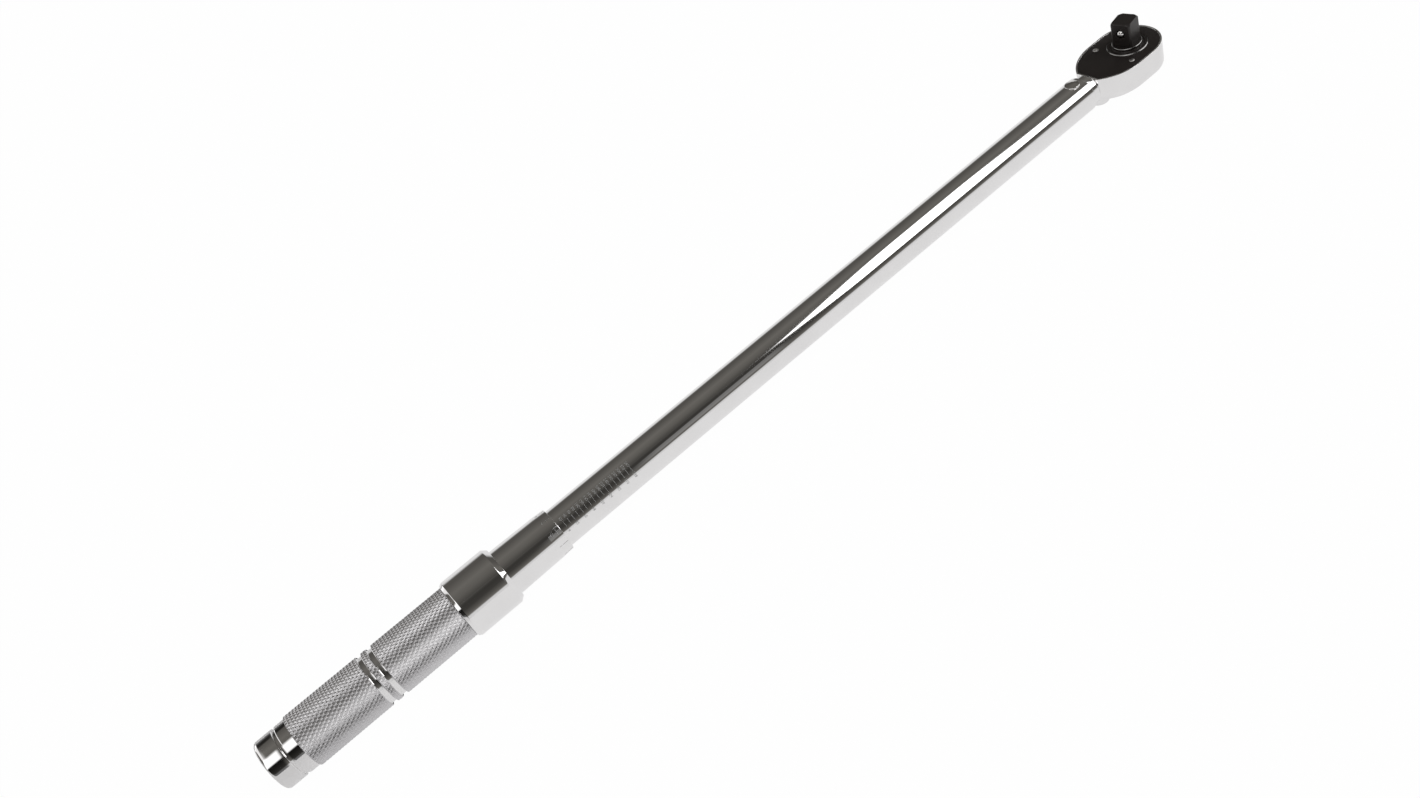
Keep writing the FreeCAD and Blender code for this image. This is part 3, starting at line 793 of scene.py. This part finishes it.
class WRENCH_OT_index_sleeve(bpy.types.Operator):
    """Adds the index sleeve, its arrow and its graduations"""

    bl_idname = "wrench.index_sleeve"
    bl_label = "Index sleeve"

    def execute(self, context):
        scale = context.scene.wrench_scale
        outer = SLEEVE_HIGH.z
        rear, front = SLEEVE_LOW.x, SLEEVE_HIGH.x
        bore = TUBE_HIGH.z + 0.05
        tip = outer - 0.45
        edge = front - SLEEVE_EDGE
        corners = [
            (rear + 6, bore, 0),
            (rear + 6, outer, 0),
            (RING_HIGH.x + 1.0, outer, 3.0),
            (edge, tip, 3.0),
            (front, tip - SLEEVE_FALL, 0.25),
            (front, bore, 0.15),
        ]
        sleeve = turned(corners)
        nodes = ["index_sleeve"]
        piece("sleeve", sleeve, "chrome", "handle", nodes)
        marks = self.graduations(scale, front, tip)
        piece("sleeve_marks", marks, "mark", "handle")
        return {"FINISHED"}

    def graduations(self, scale, front, radius):
        """Ten lines and digits round the edge, and an arrow at the index."""
        parts = []
        slope = SLEEVE_FALL / SLEEVE_EDGE
        count = 10
        for number in range(count):
            turn = scale.turn + 2 * math.pi * number / count
            long = 3.4 if number else 2.0
            line = stroke(front - 0.5 - long / 2, 0.0, long, scale.line * 1.2)
            flats = [line]
            if number:
                digit = figure(str(number), scale.digit)
                move(digit, (front - 5.2, 0, 0))
                flats.append(digit)
            else:
                flats += self.index_mark(front, scale.line * 1.4)
            flat = joined(*flats)
            for vert in flat.verts:
                vert.co.z -= max(0.0, vert.co.x - front + SLEEVE_EDGE) * slope
            wrap(flat, radius, turn)
            parts.append(flat)
        return joined(*parts)

    def index_mark(self, front, line):
        """Arrow with a bracket in front of it."""
        arrow = bmesh.new()
        bmesh.ops.create_circle(arrow, cap_ends=True, segments=3, radius=1.5)
        turn_flat(arrow, math.pi / 2)
        move(arrow, (front - 5.6, 0, 0))
        thicken(arrow)
        half = 2.2
        return [
            arrow,
            stroke(front - 6.2, 0, 3.4, line * 1.3),
            stroke(front - 2.6, 0, line, 2 * half),
            stroke(front - 1.6, -half, 2.2, line),
            stroke(front - 1.6, half, 2.2, line),
        ]


# ---- tube ----
def thicken(bm, height=0.03):
    """Gives a flat shape a little body, half sunk in the surface below it."""
    raised = bmesh.ops.extrude_face_region(bm, geom=bm.faces[:])
    bmesh.ops.translate(bm, verts=verts_in(raised["geom"]), vec=(0, 0, height))
    move(bm, (0, 0, -height / 3))
    bmesh.ops.recalc_face_normals(bm, faces=bm.faces)


def stroke(x, y, length, width):
    """Flat bar centred at (x, y), cut across so that it can be rolled."""
    bm = bmesh.new()
    bmesh.ops.create_grid(bm, x_segments=1, y_segments=4, size=0.5)
    bmesh.ops.scale(bm, vec=(length, width, 1), verts=bm.verts)
    move(bm, (x, y, 0))
    thicken(bm)
    return bm


def figure(text, height):
    """Flat digits that read round the tube."""
    curve = bpy.data.curves.new("digits", "FONT")
    curve.body = text
    curve.size = height / 0.7
    curve.align_x = "CENTER"
    curve.align_y = "CENTER"
    curve.resolution_u = 2
    holder = bpy.data.objects.new("digits", curve)
    bpy.context.scene.collection.objects.link(holder)
    bpy.context.view_layer.update()
    evaluated = holder.evaluated_get(bpy.context.evaluated_depsgraph_get())
    mesh = bpy.data.meshes.new_from_object(evaluated)
    bm = bmesh.new()
    bm.from_mesh(mesh)
    bpy.data.objects.remove(holder)
    bpy.data.curves.remove(curve)
    bpy.data.meshes.remove(mesh)
    turn_flat(bm, math.pi / 2)
    thicken(bm)
    return bm


class WRENCH_OT_tube(bpy.types.Operator):
    """Adds the polished tube with its etched scale"""

    bl_idname = "wrench.tube"
    bl_label = "Tube and scale"

    def execute(self, context):
        outer = TUBE_HIGH.z
        rear, front = TUBE_LOW.x, TUBE_HIGH.x
        bore = outer - 2.0
        corners = [
            (rear, bore, 0),
            (rear, outer, 0.3),
            (front - 0.5, outer, 0.3),
            (front, outer - 0.5, 0.15),
            (front, bore, 0.1),
        ]
        tube = turned(corners)
        piece("tube_shell", tube, "chrome", "tube_body", ["tube"])
        marks = self.scale(context.scene.wrench_scale)
        piece("tube_scale", marks, "mark", "tube_body")
        return {"FINISHED"}

    def scale(self, scale):
        """Ticks in a row, with numbers on both sides of them."""
        start = SLEEVE_HIGH.x + 3.5
        parts = []
        for number in range(scale.divisions + 1):
            x = start + number * scale.division
            for side in (-1, 1):
                middle = side * scale.tick / 2
                parts.append(stroke(x, middle, scale.line, scale.tick))
            reading = scale.lowest + scale.step * number
            digits = figure(str(reading), scale.digit)
            away = -(scale.tick + 2.0)
            move(digits, (x, away, 0))
            parts.append(digits)
            if number % 2 == 0:
                other = figure(str(round(reading * SECOND_UNIT)), scale.digit)
                move(other, (x, -away, 0))
                parts.append(other)
        flat = joined(*parts)
        wrap(flat, TUBE_HIGH.z, scale.turn)
        return flat


class WRENCH_OT_pivot_pin(bpy.types.Operator):
    """Adds the pivot pin with a domed head at each end"""

    bl_idname = "wrench.pivot_pin"
    bl_label = "Pivot pin"

    def execute(self, context):
        top = PIN_HIGH.z
        radius = (PIN_HIGH.x - PIN_LOW.x) / 2
        middle = (PIN_HIGH.x + PIN_LOW.x) / 2
        corners = [
            (-top, 0, 0),
            (-top, 1.3, 0.8),
            (-top + 1.0, radius, 0.5),
            (top - 1.0, radius, 0.5),
            (top, 1.3, 0.8),
            (top, 0, 0),
        ]
        pin = turned(corners, UP, (middle, 0, 0), 64)
        piece("pin", pin, "bright steel", "tube_body", ["pivot_pin"])
        return {"FINISHED"}


# ---- head ----
def pear(inset, end):
    """The head's outline, drawn in by inset and cut off square at end."""
    sizes = bpy.context.scene.wrench_head
    nose = HEAD_HIGH.y - inset
    cheek = sizes.cheek - inset
    centre = HEAD_HIGH.y - sizes.cheek
    nose_steps = 48
    points = []
    for step in range(nose_steps + 1):
        angle = -math.pi / 2 + math.pi * step / nose_steps
        points.append((nose * math.cos(angle), nose * math.sin(angle)))
    last = math.asin((-sizes.cheek_start - end) / cheek)
    cheek_steps = 20
    side = []
    for step in range(cheek_steps + 1):
        angle = last * step / cheek_steps
        x = -sizes.cheek_start - cheek * math.sin(angle)
        side.append((x, centre + cheek * math.cos(angle)))
    points += side
    points += [(x, -y) for x, y in reversed(side)]
    return points


def neck_end():
    """Where the cheeks have come in to the neck."""
    sizes = bpy.context.scene.wrench_head
    across = sizes.cheek - HEAD_HIGH.y + sizes.waist / 2
    return -sizes.cheek_start - math.sqrt(sizes.cheek**2 - across**2)


class WRENCH_OT_head(bpy.types.Operator):
    """Adds the chrome ratchet head and its neck"""

    bl_idname = "wrench.head"
    bl_label = "Ratchet head"

    def execute(self, context):
        sizes = context.scene.wrench_head
        top = COVER_HIGH.z + 0.2
        end = neck_end()
        body, lid = slab(pear(0.0, end), -top, top)
        bmesh.ops.inset_region(
            body, faces=[lid], thickness=sizes.rim, use_even_offset=True
        )
        sunk = bmesh.ops.extrude_face_region(body, geom=[lid])
        bmesh.ops.translate(
            body, verts=verts_in(sunk["geom"]), vec=(0, 0, COVER_LOW.z - top)
        )
        bmesh.ops.delete(body, geom=[lid], context="FACES_ONLY")
        soften(body, rim_edges(body, -top), sizes.back_edge, 6)
        outer = [
            edge for edge in rim_edges(body, top) if edge.calc_face_angle(0) > 1.0
        ]
        soften(body, outer, 0.2, 3)
        bmesh.ops.recalc_face_normals(body, faces=body.faces)
        nodes = ["ratchet_head"]
        thing = piece("head_body", body, "chrome", "head", nodes)
        carve(thing, self.waist_corners(end))
        neck = HEAD_HIGH.z
        mouth = TUBE_HIGH.x
        tail = neck - 1.8
        corners = [
            (mouth - 8, 0, 0),
            (mouth - 8, tail, 0),
            (mouth + 0.7, tail, 0.1),
            (mouth + 1.0, neck, 0.3),
            (end - 1.2, neck, 0.8),
            (end + 0.6, neck - 1.2, 0.8),
            (end + 3.2, neck - 3.4, 0),
            (end + 3.2, 0, 0),
        ]
        piece("head_neck", turned(corners), "chrome", "head")
        return {"FINISHED"}

    def waist_corners(self, end):
        """What is ground off the two lower corners beside the neck."""
        near, far = end - 1, end + 12
        near_radius = HEAD_HIGH.z - 1.8
        far_radius = near_radius + 10.4
        clear = 40
        corners = [
            (near, near_radius, 0),
            (near, clear, 0),
            (far, clear, 0),
            (far, far_radius, 0),
        ]
        ring = turned(corners)
        cut = bmesh.ops.bisect_plane(
            ring, geom=whole(ring), plane_co=(0, 0, 0), plane_no=UP,
            clear_outer=True,
        )
        bmesh.ops.holes_fill(ring, edges=edges_in(cut["geom_cut"]), sides=0)
        bmesh.ops.recalc_face_normals(ring, faces=ring.faces)
        return ring


class WRENCH_OT_cover(bpy.types.Operator):
    """Adds the black cover plate and its two rivets"""

    bl_idname = "wrench.cover"
    bl_label = "Cover plate"

    def execute(self, context):
        sizes = context.scene.wrench_head
        outline = pear(sizes.rim + 0.06, COVER_LOW.x)
        plate = slab(outline, COVER_LOW.z, COVER_HIGH.z)[0]
        soften(plate, rim_edges(plate, COVER_HIGH.z), 0.3, 3)
        nodes = ["cover_plate"]
        thing = piece("plate", plate, "black", "head", nodes)
        hole = cylinder(sizes.journal + 0.1, 96)
        move(hole, (0, 0, COVER_LOW.z))
        carve(thing, hole)
        self.add_rivets()
        return {"FINISHED"}

    def add_rivets(self):
        x = (RIVET_LOW.x + RIVET_HIGH.x) / 2
        shank = (RIVET_HIGH.x - RIVET_LOW.x) / 2
        y = RIVET_HIGH.y - shank
        radius = shank + 0.3
        base = COVER_HIGH.z
        heads = []
        for side in (-1, 1):
            corners = [
                (base - 1.0, 0, 0),
                (base - 1.0, radius, 0),
                (base + 0.25, radius, 0.2),
                (base + 0.6, radius * 0.55, 0.4),
                (base + 0.6, 0, 0),
            ]
            heads.append(turned(corners, UP, (x, side * y, 0), 40))
        rivets = joined(*heads)
        nodes = ["cover_rivets"]
        piece("rivets", rivets, "rivet steel", "head", nodes)


class WRENCH_OT_drive(bpy.types.Operator):
    """Adds the black drive square with its shoulder, ring and detent ball"""

    bl_idname = "wrench.drive"
    bl_label = "Square drive"

    def execute(self, context):
        sizes = context.scene.wrench_head
        half = sizes.square / 2
        journal = COVER_HIGH.z + 0.3
        shoulder = DRIVE_HIGH.z - 15.5
        stem = 8.95
        collar = 9.0
        corners = [
            (DRIVE_LOW.z, 0, 0),
            (DRIVE_LOW.z, stem, 0.3),
            (COVER_LOW.z, stem, 0),
            (COVER_LOW.z, sizes.journal, 0),
            (journal - 0.45, sizes.journal, 0),
            (journal, sizes.journal - 0.45, 0.1),
            (journal, 10.4, 0.1),
            (journal - 0.4, 10.2, 0.1),
            (journal - 0.4, 9.7, 0.1),
            (journal, 9.5, 0.1),
            (journal, collar, 0.3),
            (shoulder, collar, 0.45),
            (shoulder, 0, 0),
        ]
        base = turned(corners, UP, (0, 0, 0), 96)
        peg = self.peg(half, shoulder - 0.5, DRIVE_HIGH.z, sizes.square_turn)
        # thin rings of lighter, shinier steel on the journal's and shoulder's edges
        edges = [
            self.worn_edge(sizes.journal, journal, 0.47),
            self.worn_edge(collar, shoulder, 0.25),
        ]
        nodes = ["square_drive"]
        piece("drive_base", base, "black", "drive", nodes)
        square = piece("drive_square", peg, "black", "drive")
        piece("drive_edges", joined(*edges), "lighter edge", "drive")
        out = Vector((-math.cos(sizes.square_turn), -math.sin(sizes.square_turn), 0))
        ball_z = (BALL_LOW.z + BALL_HIGH.z) / 2
        hole = cylinder(2.75, 48)
        turn = UP.rotation_difference(out).to_matrix()
        bmesh.ops.rotate(hole, verts=hole.verts, matrix=turn)
        move(hole, out * half + Vector((0, 0, ball_z)))
        carve(square, hole)
        self.add_ball()
        return {"FINISHED"}

    def worn_edge(self, radius, top, width):
        """Thin ring of lighter, shinier steel on an edge of the black drive."""
        proud = 0.03
        corners = [
            (top - width, radius - width, 0),
            (top - width, radius + proud, 0),
            (top + proud, radius - width, 0),
        ]
        return turned(corners, UP, (0, 0, 0), 96)

    def peg(self, half, low, high, turn):
        """Square with rounded corners whose tip is turned to a cone."""
        corner = 1.3
        tip = half + 0.75
        edge = 0.35
        bm = bmesh.new()
        bmesh.ops.create_circle(bm, cap_ends=False, segments=96, radius=1.0)
        for vert in bm.verts:
            angle = math.atan2(vert.co.y, vert.co.x)
            folded = abs((angle + math.pi / 4) % (math.pi / 2) - math.pi / 4)
            flat = half / math.cos(folded)
            inner = half - corner
            out = flat
            if flat * math.sin(folded) > inner:
                turned_by = math.pi / 4 - folded
                middle = inner * math.sqrt(2)
                part = middle * math.sin(turned_by)
                out = middle * math.cos(turned_by) + math.sqrt(corner**2 - part**2)
            vert.co = (out * math.cos(angle), out * math.sin(angle), low)
        ring = bm.edges[:]
        for level in range(3):
            made = bmesh.ops.extrude_edge_only(bm, edges=ring)["geom"]
            ring = edges_in(made)
            for vert in verts_in(made):
                out = math.hypot(vert.co.x, vert.co.y)
                share = (1.0, min(out - edge, tip) / out, 0.8)[level]
                vert.co.x *= share
                vert.co.y *= share
                if level == 0:
                    vert.co.z = high - max(edge, (out - tip) * 0.9)
                else:
                    vert.co.z = high
        bmesh.ops.contextual_create(bm, geom=ring)
        base = [edge for edge in bm.edges if edge.is_boundary]
        bmesh.ops.contextual_create(bm, geom=base)
        turn_flat(bm, turn)
        bmesh.ops.recalc_face_normals(bm, faces=bm.faces)
        return bm

    def add_ball(self):
        ball = bmesh.new()
        bmesh.ops.create_uvsphere(
            ball, u_segments=40, v_segments=24, radius=(BALL_HIGH.z - BALL_LOW.z) / 2
        )
        middle = (BALL_LOW + BALL_HIGH) / 2
        move(ball, middle)
        nodes = ["detent_ball"]
        piece("ball", ball, "bright steel", "drive_ball", nodes)


class WRENCH_OT_lever(bpy.types.Operator):
    """Adds the reverse lever on the back of the head"""

    bl_idname = "wrench.lever"
    bl_label = "Reverse lever"

    def execute(self, context):
        pivot = Vector(JOINTS["lever_turn"]["pos_m"]) / MM
        throw = math.radians(35)
        top = -COVER_HIGH.z - 0.4
        foot = LEVER_LOW.z + 0.6
        hub_radius = 6.2
        hub = [
            (foot, 0, 0),
            (foot, hub_radius, 1.4),
            (top, hub_radius, 0.3),
            (top, 0, 0),
        ]
        body = turned(hub, UP, (pivot.x, 0, 0), 64)
        root = pivot.x - 4.0
        tip, tip_radius = pivot.x - 12.6, 3.4
        outline = [(root, -4.2), (root, 4.2)]
        steps = 10
        for step in range(steps + 1):
            angle = math.pi / 2 + math.pi * step / steps
            out, aside = math.cos(angle), math.sin(angle)
            outline.append((tip + tip_radius * out, tip_radius * aside))
        tab = slab(outline[::-1], LEVER_LOW.z, -TUBE_HIGH.z - 0.5)[0]
        soften(tab, rim_edges(tab, LEVER_LOW.z), 0.8, 4)
        lever = joined(body, tab)
        turn_flat(lever, -throw, pivot)
        nodes = ["reverse_lever"]
        piece("lever", lever, "chrome", "lever", nodes)
        return {"FINISHED"}


class WRENCH_OT_inner(bpy.types.Operator):
    """Gives the hidden CAD pieces their steel finishes"""

    bl_idname = "wrench.inner"
    bl_label = "Inner pieces"

    def execute(self, context):
        slots = {
            entry["node"]: entry["material_slot"]
            for entry in frame["record"]["subparts"]
        }
        finishes = {
            "chrome_plate": "chrome", "plain_steel": "steel",
            "black_oxide": "black", "spring_steel": "spring",
        }
        for node, thing in frame["nodes"].items():
            thing.data.materials.clear()
            thing.data.materials.append(finish_named(finishes[slots[node]]))
        return {"FINISHED"}


# ---- stage ----
class WRENCH_OT_stage(bpy.types.Operator):
    """Adds the floor, the surroundings and the camera"""

    bl_idname = "wrench.stage"
    bl_label = "Stage"

    def execute(self, context):
        self.add_floor()
        self.add_world(context.scene)
        self.add_camera(context.scene)
        context.scene.view_settings.view_transform = "Standard"
        return {"FINISHED"}

    def add_floor(self):
        """White paper, of which mirror rays see less near the handle."""
        bm = bmesh.new()
        bmesh.ops.create_grid(bm, x_segments=1, y_segments=1, size=FLOOR_SIZE)
        level = CAD_BOUNDS[0][2]
        move(bm, (0, 0, level - FLOOR_GAP))
        floor = linked("floor", bm, 1.0)
        finish = Finish("pale floor")
        camera = finish.node("ShaderNodeLightPath", out=0)
        glossy = finish.node("ShaderNodeLightPath", out=3)
        paper = finish.node("ShaderNodeBsdfDiffuse", {}, {"Color": PAPER})
        glow = finish.node(
            "ShaderNodeEmission", {}, {"Color": WHITE, "Strength": 1.0}
        )
        x, y = finish.axes()[:2]
        cap, grip, ring = CAP_LOW.x * MM, GRIP_LOW.x, RING_LOW.x * MM
        sheen = CAP_SHEEN + GRIP_SHEEN * finish.rise(x, cap, (grip + 12) * MM)
        sheen = sheen + RING_SHEEN * finish.rise(x, grip * MM, ring)
        behind = finish.rise(y, 0, PATCH_SIDE) * finish.rise(
            PATCH_END - x, 0, PATCH_SOFT
        )
        sheen = sheen * (1 - behind * PATCH_DARKNESS)
        mixed = finish.node(
            "ShaderNodeMixShader", {},
            {0: camera * FLOOR_WHITE + glossy * sheen, 1: paper, 2: glow},
        )
        finish.node("ShaderNodeOutputMaterial", {}, {"Surface": mixed})
        floor.data.materials.append(finish.material)

    def add_world(self, scene):
        """Dim walls over white paper, with soft lights at the ends and the side."""
        world = bpy.data.worlds.new("studio")
        world.use_nodes = True
        scene.world = world
        finish = Finish("studio", world.node_tree)
        along, aside, up = finish.axes()
        height = up.maths("ARCTAN2", up, aside * -1) * math.degrees(1)
        walls = [
            (ramp_place(stop), (*(tone * warmth(tone, part) for part in range(3)), 1))
            for stop, tone in WALL_TONES
        ]
        wall = finish.node(
            "ShaderNodeValToRGB", {"stops": walls}, {"Fac": ramp_place(height)}
        )
        far_left = finish.rise(LEFT_END[0] - along, 0, LEFT_END[1])
        low = finish.band(height, LOW_GAP)
        high = finish.rise(height, *HIGH_GAP) * finish.rise(along, *HIGH_GAP_ALONG)
        dim = 1 - far_left * (low + high) * GAP_DARKNESS
        room = finish.room_light(dim, wall)
        strength = self.right_light(finish, along, height) * RIGHT_LIGHT
        strength = strength + finish.band(height, LEFT_HEIGHT) * far_left * LEFT_LIGHT
        for power, heights, places in (
            (FAINT_LIGHT, FAINT_HEIGHT, FAINT_ALONG),
            (SIDE_LIGHT, SIDE_HEIGHT, SIDE_ALONG),
        ):
            light = finish.band(height, heights) * finish.band(along, places)
            strength = strength + light * power
        lights = finish.room_light(strength)
        lit = finish.node("ShaderNodeAddShader", {}, {0: room, 1: lights})
        white = finish.room_light(1.0)
        camera = finish.node("ShaderNodeLightPath", out=0)
        mixed = finish.node("ShaderNodeMixShader", {}, {0: camera, 1: lit, 2: white})
        finish.node("ShaderNodeOutputWorld", {}, {"Surface": mixed})

    def right_light(self, finish, along, height):
        """Light whose top climbs and then falls, and whose foot dips."""
        climb = RIGHT_CLIMB * finish.rise(along, *RIGHT_CLIMB_ALONG)
        fall = RIGHT_FALL * finish.rise(along, *RIGHT_FALL_ALONG)
        dip = RIGHT_DIP * finish.rise(along, *RIGHT_DIP_ALONG)
        above = height - (RIGHT_FOOT - dip)
        below = RIGHT_TOP + climb - fall - height
        return finish.rise(above, 0, RIGHT_FOOT_SOFT) * finish.rise(
            below, 0, RIGHT_TOP_SOFT
        )

    def add_camera(self, scene):
        sizes = scene.wrench_stage
        data = bpy.data.cameras.new("camera")
        data.lens = sizes.lens
        data.sensor_width = 36.0
        data.clip_start = 0.01
        camera = bpy.data.objects.new("camera", data)
        back = Vector(
            (
                math.cos(sizes.rise) * math.cos(sizes.turn),
                math.cos(sizes.rise) * math.sin(sizes.turn),
                math.sin(sizes.rise),
            )
        )
        aim = Vector((sizes.aim, 0, 0))
        facing = back.to_track_quat("Z", "Y").to_matrix()
        rolled = facing @ Matrix.Rotation(sizes.roll, 3, "Z")
        aside = rolled @ Vector((sizes.right, sizes.up, 0))
        camera.location = aim + back * sizes.distance + aside
        camera.rotation_euler = rolled.to_euler()
        scene.collection.objects.link(camera)
        scene.camera = camera


class WRENCH_PT_panel(bpy.types.Panel):
    """Buttons and sizes of the torque wrench"""

    bl_idname = "WRENCH_PT_panel"
    bl_label = "Torque wrench"
    bl_space_type = "VIEW_3D"
    bl_region_type = "UI"
    bl_category = "Torque wrench"

    def draw(self, context):
        for operator in OPERATORS:
            self.layout.operator(operator.bl_idname)
        for name in SETTINGS:
            group = getattr(context.scene, name)
            box = self.layout.box()
            for key in group.__annotations__:
                box.prop(group, key)


OPERATORS = (
    WRENCH_OT_inner,
    WRENCH_OT_tube,
    WRENCH_OT_pivot_pin,
    WRENCH_OT_grip,
    WRENCH_OT_end_cap,
    WRENCH_OT_lock_ring,
    WRENCH_OT_index_sleeve,
    WRENCH_OT_head,
    WRENCH_OT_cover,
    WRENCH_OT_drive,
    WRENCH_OT_lever,
    WRENCH_OT_stage,
)
SETTINGS = {
    "wrench_handle": HandleSizes,
    "wrench_scale": ScaleSizes,
    "wrench_head": HeadSizes,
    "wrench_colours": FinishColours,
    "wrench_stage": StageSizes,
}


def register():
    for name, group in SETTINGS.items():
        bpy.utils.register_class(group)
        setattr(bpy.types.Scene, name, PointerProperty(type=group))
    for operator in OPERATORS:
        bpy.utils.register_class(operator)
    bpy.utils.register_class(WRENCH_PT_panel)


def unregister():
    bpy.utils.unregister_class(WRENCH_PT_panel)
    for operator in reversed(OPERATORS):
        bpy.utils.unregister_class(operator)
    for name, group in SETTINGS.items():
        delattr(bpy.types.Scene, name)
        bpy.utils.unregister_class(group)


def main():
    register()
    for operator in OPERATORS:
        area, action = operator.bl_idname.split(".")
        getattr(getattr(bpy.ops, area), action)()


if __name__ == "__main__":
    main()
